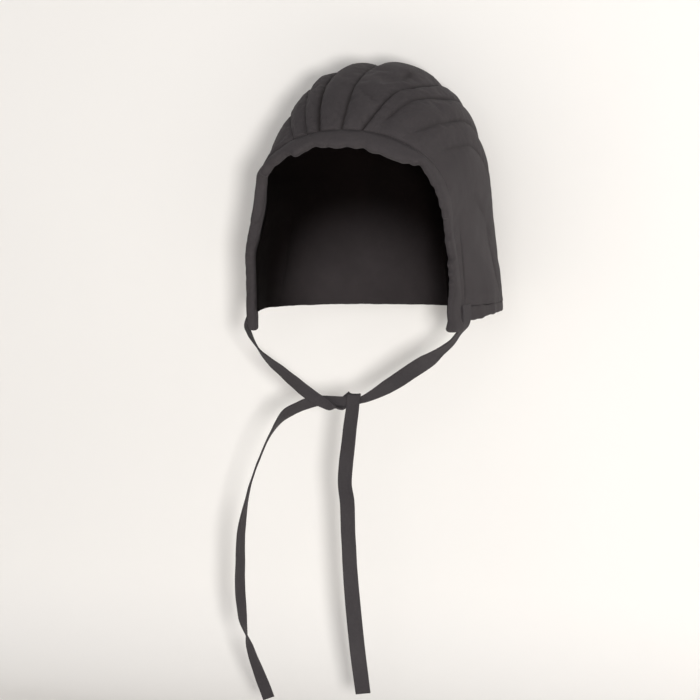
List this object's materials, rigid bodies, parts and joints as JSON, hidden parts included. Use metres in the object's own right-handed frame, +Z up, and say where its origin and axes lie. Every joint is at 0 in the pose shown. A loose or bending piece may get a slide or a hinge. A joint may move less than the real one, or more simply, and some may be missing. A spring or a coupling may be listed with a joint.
{
  "type": "quilted arming cap",
  "caption": "Padded cloth cap with sewn channels over the crown, a thick band round the open face and flat tapes that tie under the chin.",
  "frame": {"origin": "top of the head room under the crown, where the cap sits on the head", "axes": "+Z up out of the crown, -Y out of the face opening, +X towards the wearer's left ear"},
  "size_m": [0.1976, 0.1974, 0.5163],
  "materials": {
    "charcoal_canvas": "matt",
    "dark_lining": "matt"
  },
  "bodies": {
    "root": {"padded_shell": "charcoal_canvas", "lining": "dark_lining", "front_band": "charcoal_canvas", "neck_hem": "charcoal_canvas", "tie_left": "charcoal_canvas", "tie_right": "charcoal_canvas"}
  },
  "joints": []
}
